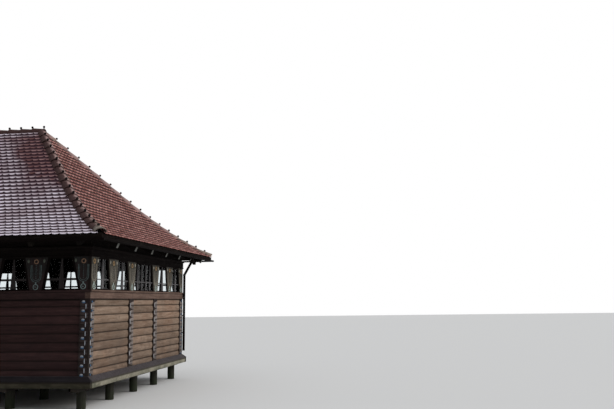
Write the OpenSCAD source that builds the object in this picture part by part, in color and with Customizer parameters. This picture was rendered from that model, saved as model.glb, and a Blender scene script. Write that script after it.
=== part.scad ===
// A log-walled boathouse on short piles, under a flared hip roof.
// Millimetres, +Z up. The long front faces -Y. The origin is the middle of the
// footprint, level with the feet of the piles.

/* [Bays] */
// From a wall corner to the middle of the first wall post
corner_bay = 2350; // [2000:10:2800]
// Between the two posts of a wide window bay
wide_bay = 1700; // [1400:10:2200]
// Between the two posts of the middle bay of a long wall
mid_bay = 2280; // [2000:10:2800]
// From a corner to the middle of the loose ornament board on a long wall
long_board_step = 1270; // [1000:10:1400]
// From a corner to the middle of the loose ornament board on an end wall
end_board_step = 1210; // [1000:10:1400]

/* [Piles and floor] */
// Radius of a pile
pile_r = 100; // [70:5:140]
// Rows of piles, from the front to the back
pile_rows = 5; // [3:1:6]
// Lines of piles, from the left to the right
pile_lines = 7; // [5:1:9]
// From a wall face in to the middle of the outermost piles
pile_inset = 250; // [150:10:400]
// Depth of the beams on the piles
beam_h = 150; // [100:10:200]
// Width of the beams on the piles
beam_w = 180; // [140:10:240]
// Thickness of the floor planks
floor_t = 60; // [40:5:80]
// Height of the floor above the feet of the piles
floor_top = 600; // [500:10:800]
// How far the floor runs out past the walls
floor_out = 80; // [40:5:150]
// Thickness of the board round the edge of the floor
edge_t = 25; // [15:5:40]
// Height of the board round the edge of the floor
edge_h = 130; // [90:5:180]
// Height of the sloping skirt board against the wall
skirt_h = 115; // [60:5:160]
// Thickness of the skirt board at its outer edge
skirt_lip = 18; // [8:1:30]
// Joint between two boards or plates that meet at a corner
corner_joint = 4; // [1:0.5:6]

/* [Walls] */
// Height of one log course
log_gauge = 194; // [150:2:240]
// Thickness of a log across its fullest part
log_t = 130; // [90:5:180]
// How deep the joints between logs are
log_joint = 26; // [10:1:40]
// How far the logs stand back from the posts
log_back = 20; // [5:1:40]
// Part of the top log that shows under the rail
first_course = 168; // [80:2:194]
// Side of a square corner post
corner_post = 230; // [160:5:280]
// Width of a wall post
wall_post_w = 270; // [160:5:320]
// Depth of a wall post
wall_post_t = 180; // [160:5:240]
// Width of the slim upper posts behind the ornament boards
upper_post_w = 130; // [80:5:160]
// Height of the lower edge of the rail
rail_z0 = 2361; // [2000:1:2600]
// Height of the rail
rail_h = 186; // [120:1:240]
// Depth of the rail
rail_t = 125; // [80:5:160]
// How far the rail and header stand proud of the posts
rail_out = 12; // [4:1:30]
// Height of the window zone above the rail
window_h = 723; // [500:1:900]
// Height of the header above the windows
header_h = 230; // [140:5:300]
// Depth of the header
header_t = 150; // [100:5:180]
// Thickness of the wall plates above the header
plate_t = 100; // [60:5:140]

/* [Ornament boards] */
// Width of an ornament board at its top
board_top_w = 530; // [400:5:700]
// Width of an ornament board at its foot
board_foot_w = 270; // [180:5:380]
// Thickness of an ornament board
board_t = 40; // [20:2:60]
// Width of a corner board at its top, from the corner
corner_board_top_w = 400; // [300:5:500]
// Width of a corner board at its foot, from the corner
corner_board_foot_w = 230; // [190:5:290]
// Thickness of the window glass
glass_t = 6; // [4:1:10]
// How far each pane runs in behind the ornament boards
glass_lap = 100; // [40:5:110]

/* [Door] */
// Width of each jamb, and height of the head
door_frame_w = 60; // [40:5:90]
// Thickness of a door leaf
door_t = 50; // [35:5:70]
// Gap round and between the door leaves
door_gap = 4; // [2:1:8]

/* [Roof] */
// How far the eaves run out past the long walls
eave_out = 920; // [500:10:1200]
// How far the eaves run out past the end walls
end_eave_out = 645; // [400:5:900]
// Height of the top of the tiles at the eaves
eave_z = 3670; // [3500:5:4200]
// Slope of the eaves in degrees
eave_pitch = 24.7; // [18:0.1:34]
// Slope of the long roof sides above the flare in degrees
main_pitch = 43.1; // [36:0.1:50]
// How far in from the eaves the flare runs
flare_run = 2200; // [900:10:2600]
// From an end wall in to the end of the ridge
hip_inset = 3050; // [2500:10:3600]
// Thickness of the tiles and boarding together
shell_t = 85; // [60:5:120]
// Depth of a rafter
rafter_h = 180; // [80:5:200]
// Width of a rafter
rafter_w = 90; // [60:5:120]
// Distance between rafters
rafter_step = 1060; // [700:10:1300]
// Width of a hip rafter
hip_w = 100; // [70:5:140]
// How far the hip rafters end inside the eaves of the end walls
hip_in = 250; // [60:10:400]
// Depth of a hip rafter and of the ridge beam
hip_h = 190; // [140:5:260]
// Width of the ridge beam
ridge_w = 60; // [40:5:100]

/* [Caps and gutters] */
// Width of the hip and ridge caps
cap_w = 270; // [160:5:340]
// Height of the caps above the tiles
cap_t = 55; // [30:5:90]
// How far the ridge caps run out past the end of the ridge
cap_out = 100; // [40:5:160]
// Number of caps along each hip
hip_cap_count = 17; // [10:1:24]
// Distance between the knobs on the ridge
ridge_gauge = 345; // [200:5:450]
// Place of a knob on its hip cap, as a share of the cap's length from its lower end
knob_share = 0.88; // [0.5:0.01:0.95]
// Radius of the ball of a knob
knob_r = 32; // [16:1:40]
// Height of a knob's neck above its cap
knob_neck = 52; // [40:1:110]
// Outer radius of a gutter
gutter_r = 46; // [30:1:80]
// Wall of a gutter
gutter_t = 4; // [2:0.5:6]
// Gap between two gutters at a corner
gutter_gap = 6; // [3:1:15]
// How far the middle of a gutter stands out past the eaves
gutter_shift = 25; // [10:1:40]
// How far the top of a gutter lies below the tiles and boarding
gutter_drop = 10; // [5:1:30]
// Outer radius of a downpipe
pipe_r = 36; // [20:1:60]
// How far the elbows of a downpipe stand out past its pipes
elbow_out = 6; // [3:1:15]
// Gap between a downpipe and the wall
pipe_gap = 12; // [5:1:40]
// From the back wall to a downpipe's outlet in the gutter
outlet_step = 1190; // [600:10:2000]
// Height of the foot of a downpipe above the floor
pipe_foot = 210; // [150:10:400]
// How far a downpipe drops on its way from the gutter to the wall
pipe_drop = 370; // [200:10:600]
// Width and height of the clips that hold a downpipe to its post
clip_w = 30; // [20:5:50]
// Number of clips on each downpipe
clip_count = 2; // [2:1:4]
// Gap where a pipe or clip meets what carries it
seat_gap = 0.3; // [0.1:0.1:1]

/* [Hidden] */
$fn = 40;

FRONT = 0;
RIGHT = 1;
BACK = 2;
LEFT = 3;
flare_steps = 8;
course_steps = 6;
knob_turn = 45;

width = 2 * corner_bay + 2 * wide_bay + mid_bay;
depth = 2 * corner_bay + wide_bay;
rail_z1 = rail_z0 + rail_h;
header_z0 = rail_z1 + window_h;
header_z1 = header_z0 + header_h;
beam_z1 = floor_top - floor_t;
beam_z0 = beam_z1 - beam_h;
run_long = depth / 2 + eave_out;
run_end = hip_inset + end_eave_out;
ridge_half = width / 2 - hip_inset;
eave_rise = run_long * tan(eave_pitch);
main_rise = run_long * tan(main_pitch);
flare = flare_run / run_long;
steps = concat([for (i = [0:flare_steps]) flare * i / flare_steps], [1]);
hip_len = norm([run_long, run_end]);
ridge_z = roof_z(1);

// A rafter's end is square to the eaves' slope and meets the gutter's inner upper edge
tail_in = (gutter_r - gutter_shift - gutter_drop * tan(eave_pitch)) * pow(cos(eave_pitch), 2);
tail_cut = rafter_h * sin(eave_pitch) * cos(eave_pitch);

far = 20000;
door_bay = 1;

// Height of the tiles at a share t of the way from the eaves to the ridge:
// a parabola over the flare, then one straight slope.
function roof_z(t) = eave_z + (t < flare
    ? eave_rise * t + (main_rise - eave_rise) * t * t / (2 * flare)
    : (eave_rise - main_rise) * flare / 2 + main_rise * t);

function is_long(side) = side % 2 == 0;
function side_len(side) = is_long(side) ? width : depth;
function side_run(side) = is_long(side) ? run_long : run_end;
function side_out(side) = is_long(side) ? eave_out : end_eave_out;
function top_half(side) = is_long(side) ? ridge_half : 0;

// Middles of the wall posts, of the loose boards, and of all boards, from left to right
function post_xs(side) = is_long(side)
    ? [-mid_bay / 2 - wide_bay, -mid_bay / 2, mid_bay / 2, mid_bay / 2 + wide_bay]
    : [-wide_bay / 2, wide_bay / 2];
function board_xs(side) = let (p = post_xs(side),
    e = side_len(side) / 2 - (is_long(side) ? long_board_step : end_board_step))
    is_long(side) ? [-e, p[0], p[1], 0, p[2], p[3], e] : [-e, p[0], p[1], e];

// One wall's own frame: x along it, y = 0 at its outer face and +y into the building
module at_side(side) {
    rotate(90 * side) translate([0, -side_len(side + 1) / 2, 0]) children();
}

// An outline in y and z, carried along x about the middle
module along(length, points) {
    rotate([90, 0, 90]) translate([0, 0, -length / 2]) linear_extrude(length) polygon(points);
}

// A box in a wall's frame, from its lowest to its highest corner
module block(low, high) {
    translate(low) cube(high - low);
}

// Piles, floor and edge

module pile_row(row) {
    y = depth / 2 - pile_inset;
    x = width / 2 - pile_inset;
    for (i = [0:pile_lines - 1])
        translate([-x + 2 * x * i / (pile_lines - 1), -y + 2 * y * row / (pile_rows - 1), 0])
            cylinder(r = pile_r, h = beam_z0);
}

module piles_front() color([0.42, 0.40, 0.36]) pile_row(0);

module piles_inner() color([0.42, 0.40, 0.36]) for (row = [1:pile_rows - 2]) pile_row(row);

module piles_back() color([0.42, 0.40, 0.36]) pile_row(pile_rows - 1);

module floor_beams() color([0.24, 0.20, 0.17]) {
    x = width / 2 - pile_inset;
    for (i = [0:pile_lines - 1])
        translate([-x + 2 * x * i / (pile_lines - 1), 0, 0])
            block([-beam_w / 2, -depth / 2 - floor_out, beam_z0],
                [beam_w / 2, depth / 2 + floor_out, beam_z1]);
}

module floor_boards() color([0.45, 0.40, 0.34])
    block([-width / 2 - floor_out, -depth / 2 - floor_out, beam_z1],
        [width / 2 + floor_out, depth / 2 + floor_out, floor_top]);

// The boards on the long sides run past the ends of the others
module edge_boards() color([0.55, 0.53, 0.44]) for (side = [FRONT:LEFT]) at_side(side) {
    half = side_len(side) / 2 + floor_out + (is_long(side) ? edge_t : -corner_joint);
    block([-half, -floor_out - edge_t, floor_top - edge_h], [half, -floor_out, floor_top]);
}

module skirt_boards() color([0.40, 0.37, 0.37]) for (side = [FRONT:LEFT]) at_side(side) {
    reach = floor_out + edge_t;
    half = side_len(side) / 2 - (is_long(side) ? 0 : corner_joint);
    intersection() {
        along(2 * half + 2 * reach, [[-reach, floor_top], [0, floor_top],
            [0, floor_top + skirt_h], [-reach, floor_top + skirt_lip]]);
        linear_extrude(far) polygon([[-half - reach, -reach], [half + reach, -reach],
            [half, 0], [-half, 0]]);
    }
}

// Posts

module corner_posts() color([0.16, 0.12, 0.11]) for (sx = [0, 1]) for (sy = [0, 1])
    mirror([sx, 0, 0]) mirror([0, sy, 0]) translate([-width / 2, -depth / 2, 0]) {
        back = board_t + glass_t;
        block([0, 0, floor_top], [corner_post, corner_post, rail_z0]);
        block([back, back, rail_z1], [back + upper_post_w, back + upper_post_w, header_z0]);
    }

module wall_posts(side) at_side(side) for (x = post_xs(side)) translate([x, 0, 0]) {
    block([-wall_post_w / 2, 0, floor_top], [wall_post_w / 2, wall_post_t, rail_z0]);
    block([-upper_post_w / 2, board_t + glass_t, rail_z1],
        [upper_post_w / 2, wall_post_t, header_z0]);
}

module front_posts() color([0.16, 0.12, 0.11]) wall_posts(FRONT);

module back_posts() color([0.16, 0.12, 0.11]) wall_posts(BACK);

module end_posts() color([0.16, 0.12, 0.11]) {
    wall_posts(RIGHT);
    wall_posts(LEFT);
}

// Log walls: each course bulges by log_joint between its two joints

function bulge(z) = let (u = (z - rail_z0 + first_course) / log_gauge, v = 2 * (u - floor(u)) - 1)
    log_joint * v * v;
function log_zs() = concat([floor_top], [for (k = [floor((floor_top - rail_z0 + first_course)
    / log_gauge) * course_steps:floor(first_course / log_gauge * course_steps)])
    let (z = rail_z0 - first_course + k * log_gauge / course_steps)
    if (z > floor_top + 1 && z < rail_z0 - 1) z], [rail_z0]);

module log_panel(x0, x1) {
    zs = log_zs();
    last = len(zs) - 1;
    translate([(x0 + x1) / 2, 0, 0]) along(x1 - x0, concat(
        [for (z = zs) [log_back + bulge(z), z]],
        [for (i = [last:-1:0]) [log_back + log_t - bulge(zs[i]), zs[i]]]));
}

module log_wall(side) at_side(side) {
    post = wall_post_w / 2;
    edge = side_len(side) / 2 - corner_post;
    xs = post_xs(side);
    starts = concat([-edge], [for (x = xs) x + post]);
    ends = concat([for (x = xs) x - post], [edge]);
    for (i = [0:len(starts) - 1])
        if (!(side == BACK && i == door_bay)) log_panel(starts[i], ends[i]);
}

module front_logs() color([0.36, 0.22, 0.19]) log_wall(FRONT);

module right_logs() color([0.50, 0.41, 0.35]) log_wall(RIGHT);

module back_logs() color([0.36, 0.22, 0.19]) log_wall(BACK);

module left_logs() color([0.50, 0.41, 0.35]) log_wall(LEFT);

// Rails and headers: those of the end walls run through to the long faces

module beam(side, z0, z1, thick) {
    half = side_len(side) / 2 + (is_long(side) ? rail_out - thick : rail_out);
    block([-half, -rail_out, z0], [half, thick - rail_out, z1]);
}

module rail(side) at_side(side) beam(side, rail_z0, rail_z1, rail_t);

module front_rail() color([0.38, 0.24, 0.20]) rail(FRONT);

module right_rail() color([0.46, 0.30, 0.24]) rail(RIGHT);

module back_rail() color([0.38, 0.24, 0.20]) difference() {
    rail(BACK);
    at_side(BACK) block([door_x0(), -far, 0], [door_x1(), far, far]);
}

module left_rail() color([0.46, 0.30, 0.24]) rail(LEFT);

module header(side) at_side(side) beam(side, header_z0, header_z1, header_t);

module front_header() color([0.30, 0.25, 0.20]) header(FRONT);

module right_header() color([0.34, 0.30, 0.23]) header(RIGHT);

module back_header() color([0.30, 0.25, 0.20]) header(BACK);

module left_header() color([0.34, 0.30, 0.23]) header(LEFT);

// Ornament boards: wide at the top and narrow at the foot

module ornament_board(top, foot) {
    rotate([90, 0, 0]) translate([0, 0, -board_t]) linear_extrude(board_t)
        polygon([[-foot / 2, rail_z1], [foot / 2, rail_z1], [top / 2, header_z0],
            [-top / 2, header_z0]]);
}

// One corner board, from the corner at x = 0 towards +x; the end walls' boards
// start behind the others
module corner_board(start) {
    rotate([90, 0, 0]) translate([0, 0, -board_t]) linear_extrude(board_t)
        polygon([[start, rail_z1], [corner_board_foot_w, rail_z1], [corner_board_top_w, header_z0],
            [start, header_z0]]);
}

module wall_boards(side) at_side(side) {
    start = is_long(side) ? 0 : board_t;
    for (x = board_xs(side)) translate([x, 0, 0]) ornament_board(board_top_w, board_foot_w);
    for (m = [0, 1]) mirror([m, 0, 0]) translate([-side_len(side) / 2, 0, 0]) corner_board(start);
}

module front_boards() color([0.30, 0.27, 0.24]) wall_boards(FRONT);

module right_boards() color([0.62, 0.57, 0.50]) wall_boards(RIGHT);

module back_boards() color([0.30, 0.27, 0.24]) wall_boards(BACK);

module left_boards() color([0.62, 0.57, 0.50]) wall_boards(LEFT);

// One pane behind each gap between two boards

module panes(side) at_side(side) {
    xs = board_xs(side);
    lap = board_foot_w / 2 - glass_lap;
    end = side_len(side) / 2 - board_t - glass_t - upper_post_w;
    starts = concat([-end], [for (x = xs) x + lap]);
    ends = concat([for (x = xs) x - lap], [end]);
    for (i = [0:len(starts) - 1])
        block([starts[i], board_t, rail_z1], [ends[i], board_t + glass_t, header_z0]);
}

module front_glass() color([0.70, 0.78, 0.80, 0.4]) panes(FRONT);

module back_glass() color([0.70, 0.78, 0.80, 0.4]) panes(BACK);

module end_glass() color([0.70, 0.78, 0.80, 0.4]) {
    panes(RIGHT);
    panes(LEFT);
}

// Door in one wide bay of the back wall

function door_x0() = post_xs(BACK)[door_bay - 1] + wall_post_w / 2;
function door_x1() = post_xs(BACK)[door_bay] - wall_post_w / 2;

module door_frame() color([0.28, 0.20, 0.17]) at_side(BACK) difference() {
    block([door_x0(), -rail_out, floor_top], [door_x1(), rail_t - rail_out, rail_z1]);
    block([door_x0() + door_frame_w, -far, 0], [door_x1() - door_frame_w, far,
        rail_z1 - door_frame_w]);
}

module back_doors() color([0.36, 0.24, 0.20]) at_side(BACK) {
    x0 = door_x0() + door_frame_w;
    x1 = door_x1() - door_frame_w;
    leaf = (x1 - x0 - door_gap) / 2;
    for (x = [x0, x0 + leaf + door_gap])
        block([x, log_back, floor_top], [x + leaf, log_back + door_t,
            rail_z1 - door_frame_w - door_gap]);
}

// Roof: a flared surface over the whole house, raised or lowered by dz

module under_roof(dz) intersection_for (side = [FRONT:LEFT]) at_side(side) {
    run = side_run(side);
    out = side_out(side);
    along(2 * far, concat([[-out, 0]],
        [for (t = steps) [run * t - out, roof_z(t) + dz]],
        [[far, ridge_z + dz], [far, 0]]));
}

// The plan of one side of the roof, as a prism
module side_region(side) {
    half = side_len(side) / 2 + side_out(side + 1);
    top = top_half(side);
    low = -side_out(side);
    linear_extrude(far) polygon([[-half, low], [half, low],
        [top, side_run(side) + low], [-top, side_run(side) + low]]);
}

// The steps of the roof from a place in plan on, for a run
function steps_from(start, run) = concat([start / run], [for (t = steps) if (t > start / run) t]);

// A layer that follows one side, between two heights above the tiles. Its end is cut so
// that its lower edge starts further in.
module layer(side, length, low, high, start = 0, cut = 0) {
    run = side_run(side);
    out = side_out(side);
    under = steps_from(start + cut, run);
    last = len(under) - 1;
    along(length, concat([for (t = steps_from(start, run)) [run * t - out, roof_z(t) + high]],
        [for (i = [last:-1:0]) [run * under[i] - out, roof_z(under[i]) + low]]));
}

module roof_side(side) at_side(side) intersection() {
    layer(side, side_len(side) + 2 * side_out(side + 1), -shell_t, 0);
    side_region(side);
}

module roof_front() color([0.70, 0.60, 0.60]) roof_side(FRONT);

module roof_right() color([0.63, 0.37, 0.33]) roof_side(RIGHT);

module roof_back() color([0.63, 0.37, 0.33]) roof_side(BACK);

module roof_left() color([0.63, 0.37, 0.33]) roof_side(LEFT);

// Upright slabs along the four hips, seen from above; x runs from the eaves corner
module on_hips() for (sx = [0, 1]) for (sy = [0, 1])
    mirror([sx, 0, 0]) mirror([0, sy, 0])
        translate([-width / 2 - end_eave_out, -depth / 2 - eave_out, 0])
            rotate(atan2(run_long, run_end)) children();

// The tops of the slabs follow the hips under the shell, or stand over them
module hip_slabs(w = hip_w, over = 0) on_hips() translate([0, 0, -shell_t]) {
    ts = steps_from(hip_in, run_end);
    last = len(ts) - 1;
    rotate([90, 0, 0]) translate([0, 0, -w / 2]) linear_extrude(w) polygon(concat(
        [for (t = ts) [hip_len * t, roof_z(t) + over]],
        [for (i = [last:-1:0]) [hip_len * ts[i], roof_z(ts[i]) - hip_h]]));
}

module ridge_slab() {
    half = ridge_half + hip_w;
    block([-half, -ridge_w / 2, ridge_z - shell_t - hip_h],
        [half, ridge_w / 2, ridge_z - shell_t]);
}

module hip_rafters() color([0.18, 0.15, 0.13]) difference() {
    intersection() {
        hip_slabs(over = shell_t);
        under_roof(-shell_t);
    }
    block([-far, -ridge_w / 2, 0], [far, ridge_w / 2, far]);
}

module ridge_beam() color([0.18, 0.15, 0.13]) intersection() {
    ridge_slab();
    under_roof(-shell_t);
}

module rafters(side) difference() {
    at_side(side) intersection() {
        count = floor((side_len(side) / 2 + side_out(side + 1) - 2 * rafter_w) / rafter_step);
        for (i = [-count:count]) translate([i * rafter_step, 0, 0])
            layer(side, rafter_w, -shell_t - rafter_h, -shell_t, tail_in, tail_cut);
        side_region(side);
    }
    hip_slabs(over = shell_t);
    ridge_slab();
}

module rafters_front() color([0.20, 0.17, 0.15]) rafters(FRONT);

module rafters_back() color([0.20, 0.17, 0.15]) rafters(BACK);

module rafters_end() color([0.20, 0.17, 0.15]) {
    rafters(RIGHT);
    rafters(LEFT);
}

module wall_plates() color([0.26, 0.22, 0.18]) difference() {
    intersection() {
        for (side = [FRONT:LEFT]) at_side(side) {
            half = side_len(side) / 2 - log_back - (is_long(side) ? 0 : plate_t + corner_joint);
            block([-half, log_back, header_z1], [half, log_back + plate_t, eave_z + far]);
        }
        under_roof(-shell_t);
    }
    hip_slabs(hip_w + 3 * plate_t, shell_t);
    for (side = [FRONT:LEFT]) rafters(side);
}

// Caps with knobs

// A knob is turned about its stem, so that the stem's seam stays clear of its cap's crease
module knob() rotate(knob_turn) {
    translate([0, 0, -cap_t / 2]) cylinder(r = knob_r / 2, h = cap_t / 2 + knob_neck);
    translate([0, 0, knob_neck]) sphere(r = knob_r);
}

module over_tiles() difference() {
    intersection() {
        children();
        under_roof(cap_t);
    }
    under_roof(0);
}

module hip_caps() color([0.42, 0.37, 0.33]) difference() {
    union() {
        over_tiles() on_hips() block([-cap_w, -cap_w / 2, 0],
            [hip_len + cap_w, cap_w / 2, far]);
        on_hips() for (i = [0:hip_cap_count - 2]) let (t = (i + knob_share) / hip_cap_count)
            translate([hip_len * t, 0, roof_z(t) + cap_t]) knob();
    }
    block([-ridge_half - cap_out - 1, -far, 0], [ridge_half + cap_out + 1, far, far]);
    block([-far, -1, 0], [far, 1, far]);
}

module ridge_caps() color([0.42, 0.37, 0.33]) {
    half = ridge_half + cap_out;
    count = round((2 * half - 2 * knob_r) / ridge_gauge);
    edge = ridge_z - tan(main_pitch) * cap_w / 2;
    difference() {
        along(2 * half, [[-cap_w / 2, edge], [cap_w / 2, edge], [cap_w / 2, edge + cap_t],
            [0, ridge_z + cap_t], [-cap_w / 2, edge + cap_t]]);
        under_roof(0);
    }
    for (i = [0:count]) translate([(half - knob_r) * (2 * i / count - 1), 0, ridge_z + cap_t])
        knob();
}

// Gutters and downpipes

function gutter_y(side) = -side_out(side) - gutter_shift;
gutter_z = eave_z - shell_t - gutter_drop;

module gutter_shape(r) {
    intersection() {
        circle(r);
        translate([-r, -r]) square([2 * r, r]);
    }
}

module gutters() color([0.25, 0.17, 0.15]) for (side = [FRONT:LEFT]) at_side(side) {
    reach = gutter_y(side + 1) + (is_long(side) ? -gutter_r : gutter_r + gutter_gap);
    half = side_len(side) / 2 - reach;
    translate([-half, gutter_y(side), gutter_z]) rotate([90, 0, 90]) {
        difference() {
            linear_extrude(2 * half) gutter_shape(gutter_r);
            translate([0, 0, gutter_t]) linear_extrude(2 * half - 2 * gutter_t)
                gutter_shape(gutter_r - gutter_t);
        }
    }
}

// A length of pipe between two points
module pipe(a, b) {
    d = b - a;
    translate(a) rotate([0, acos(d[2] / norm(d)), atan2(d[1], d[0])])
        cylinder(r = pipe_r, h = norm(d));
}

module downpipes() color([0.20, 0.16, 0.15]) for (m = [0, 1]) mirror([m, 0, 0]) {
    wall_x = width / 2 + rail_out + pipe_gap + elbow_out + pipe_r;
    wall_y = depth / 2 - pipe_r;
    out_x = width / 2 - gutter_y(RIGHT);
    out_y = depth / 2 - outlet_step;
    bend = [out_x, out_y, gutter_z - gutter_r - 2 * pipe_r];
    elbow = [wall_x, wall_y, bend[2] - pipe_drop];
    foot = floor_top + pipe_foot;
    difference() {
        pipe([out_x, out_y, gutter_z - gutter_r / 2], bend);
        translate([out_x, out_y, gutter_z]) rotate([90, 0, 0])
            cylinder(r = gutter_r + seat_gap, h = 4 * pipe_r, center = true);
    }
    pipe(bend, elbow);
    pipe(elbow, [wall_x, wall_y, foot]);
    for (p = [bend, elbow]) translate(p) sphere(r = pipe_r + elbow_out);
    for (i = [1:clip_count])
        translate([0, wall_y, foot + (rail_z0 - foot) * i / (clip_count + 1)])
            block([width / 2 + seat_gap, -clip_w / 2, 0], [wall_x, clip_w / 2, clip_w]);
}

piles_front();
piles_inner();
piles_back();
floor_beams();
floor_boards();
edge_boards();
skirt_boards();
corner_posts();
front_posts();
back_posts();
end_posts();
front_logs();
right_logs();
back_logs();
left_logs();
front_rail();
right_rail();
back_rail();
left_rail();
front_boards();
right_boards();
back_boards();
left_boards();
front_glass();
back_glass();
end_glass();
front_header();
right_header();
back_header();
left_header();
wall_plates();
door_frame();
back_doors();
rafters_front();
rafters_back();
rafters_end();
hip_rafters();
ridge_beam();
roof_front();
roof_right();
roof_back();
roof_left();
hip_caps();
ridge_caps();
gutters();
downpipes();
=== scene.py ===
"""Looks of the boathouse: tiles, caps, window bars, mouldings, painted ornament and finishes.

Metres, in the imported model's frame: +Z up, the long front faces -Y, its right end is +X.
A wall's own frame has x along the wall, y = 0 at its outer face and +y into the house.
"""
import math
from functools import partialmethod

import bpy
import numpy as np
from mathutils import Matrix, Vector

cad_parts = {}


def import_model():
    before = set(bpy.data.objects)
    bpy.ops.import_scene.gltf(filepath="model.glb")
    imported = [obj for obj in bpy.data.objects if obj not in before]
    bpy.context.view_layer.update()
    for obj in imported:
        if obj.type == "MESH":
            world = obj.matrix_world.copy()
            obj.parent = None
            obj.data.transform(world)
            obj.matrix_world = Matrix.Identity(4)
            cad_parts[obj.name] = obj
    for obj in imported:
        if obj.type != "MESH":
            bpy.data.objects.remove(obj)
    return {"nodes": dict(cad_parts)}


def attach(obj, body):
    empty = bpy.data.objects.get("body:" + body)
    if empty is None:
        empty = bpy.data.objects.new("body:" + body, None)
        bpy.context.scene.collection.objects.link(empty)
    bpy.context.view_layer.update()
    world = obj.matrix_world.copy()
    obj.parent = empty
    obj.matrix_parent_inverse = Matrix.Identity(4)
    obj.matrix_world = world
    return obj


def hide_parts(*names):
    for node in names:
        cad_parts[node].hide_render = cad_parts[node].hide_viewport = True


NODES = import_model()["nodes"]
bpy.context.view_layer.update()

# Sizes of the house
HALF_W, HALF_D = 5.19, 3.2
EAVE_OUT, END_OUT, EAVE_Z = 0.92, 0.645, 3.67
HIP_INSET, FLARE_RUN, EAVE_PITCH, MAIN_PITCH = 3.05, 2.2, 24.7, 43.1
RUN_LONG, RUN_END = HALF_D + EAVE_OUT, HIP_INSET + END_OUT
RIDGE_HALF = HALF_W - HIP_INSET
EAVE_RISE, MAIN_RISE = (RUN_LONG * math.tan(math.radians(v)) for v in (EAVE_PITCH, MAIN_PITCH))
FLARE = FLARE_RUN / RUN_LONG
RAIL_Z0, RAIL_Z1 = 2.361, 2.547
HEADER_Z = 3.27
# SILL_SHADOW_Z is the height of a dark line just under the sill moulding, a painted shadow
FLOOR_Z, SILL_SHADOW_Z = 0.6, 2.5
LOG_GAUGE, TOP_JOINT, LOG_COURSES = 0.194, 2.193, 8
PROUD, HEAD_PROUD, PLANK_GAP = 0.012, 0.014, 0.006
BOARD_TOP, BOARD_FOOT = 0.53, 0.27
CORNER_TOP, CORNER_FOOT = 0.4, 0.23
RIDGE_FROST = (6.76, 6.84)
RAFTER_STEP, RAFTER_HALF = 1.06, 0.043
POST_OUT, POST_IN, POST_END = 2.84, 1.14, 0.85
POSTS = ((-POST_OUT, -POST_IN, POST_IN, POST_OUT), (-POST_END, POST_END))
BOARDS = ((-3.92, -POST_OUT, -POST_IN, 0.0, POST_IN, POST_OUT, 3.92),
          (-1.99, -POST_END, POST_END, 1.99))
POST_HALF, CORNER_POST, CORNER_BOARD, UPRIGHT_HALF = 0.135, 0.23, 0.17, 0.013
FRONT, RIGHT, BACK, LEFT = range(4)
SIDES = ("front", "right", "back", "left")
DOOR_X = (-2.705, -1.275)


# Shapes

def quads(rows, cols, close_rows=False, close_cols=False):
    """Faces of a grid of rows by cols points: each joins a point, its neighbour in the
    next row, that one's neighbour in the next column, and its own."""
    i, j = np.meshgrid(np.arange(rows if close_rows else rows - 1),
                       np.arange(cols if close_cols else cols - 1), indexing="ij")
    i2, j2 = (i + 1) % rows, (j + 1) % cols
    return np.stack([i * cols + j, i2 * cols + j, i2 * cols + j2, i * cols + j2],
                    -1).reshape(-1, 4)


def join(shapes):
    """Several shapes as one: the points one after another, the faces moved on by the
    number of points before them."""
    points, faces, start = [], [], 0
    for p, fs in shapes:
        points.append(p)
        faces += [f + start for f in fs]
        start += len(p)
    return np.concatenate(points), faces


def repeated(faces, n, size):
    """The faces of n like shapes laid one after another, each with size points."""
    step = (np.arange(n) * size)[:, None, None]
    return [(f[None] + step).reshape(-1, f.shape[1]) for f in faces]


def copies(shape, origins, x_axis, y_axis, z_axis):
    """A small shape set at many places: origin + x times the first axis + y times the
    second + z times the third."""
    p, fs = shape
    n = len(origins)
    axes = [np.broadcast_to(np.asarray(a, float), (n, 3)) for a in (x_axis, y_axis, z_axis)]
    points = origins[:, None, :] + sum(p[None, :, k:k + 1] * axes[k][:, None, :]
                                       for k in range(3))
    return points.reshape(-1, 3), repeated(fs, n, len(p))


def prism(section, x0, x1):
    """An outline in y and z carried straight along x from x0 to x1, with both ends closed.
    x0 and x1 may be one number for each point of the outline, for a slanting end."""
    section = np.asarray(section, float)
    n = len(section)
    rows = [np.column_stack([np.broadcast_to(x, n), section]) for x in (x0, x1)]
    ends = [np.arange(n)[None, ::-1], (np.arange(n) + n)[None]]
    return np.concatenate(rows), [quads(2, n, close_cols=True)] + ends


def bead(path, width, height, back=0.0, closed=False):
    """A low half-round ridge carried along a path of x and z in a wall's face. Its section
    has across = width / 2 * cos(angle) and out = height * sin(angle); its back is flat.
    Width may be one number, or one for each point of the path."""
    path = np.asarray(path, float)
    if closed:
        ahead = np.roll(path, -1, 0) - np.roll(path, 1, 0)
    else:
        ahead = np.gradient(path, axis=0)
    ahead = ahead / np.linalg.norm(ahead, axis=1, keepdims=True)
    side = np.stack([-ahead[:, 1], ahead[:, 0]], 1)
    angle = np.linspace(0, np.pi, 5)
    across = np.broadcast_to(width, len(path))[:, None] / 2 * np.cos(angle)
    flat = path[:, None, :] + side[:, None, :] * across[..., None]
    out = np.broadcast_to(back - height * np.sin(angle), flat.shape[:2])
    points = np.stack([flat[..., 0], out, flat[..., 1]], -1).reshape(-1, 3)
    n, k = len(path), np.arange(len(angle))
    faces = [quads(n, len(k), close_rows=closed, close_cols=True)]
    if not closed:
        faces += [k[None, ::-1], (k + (n - 1) * len(k))[None]]
    return points, faces


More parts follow.
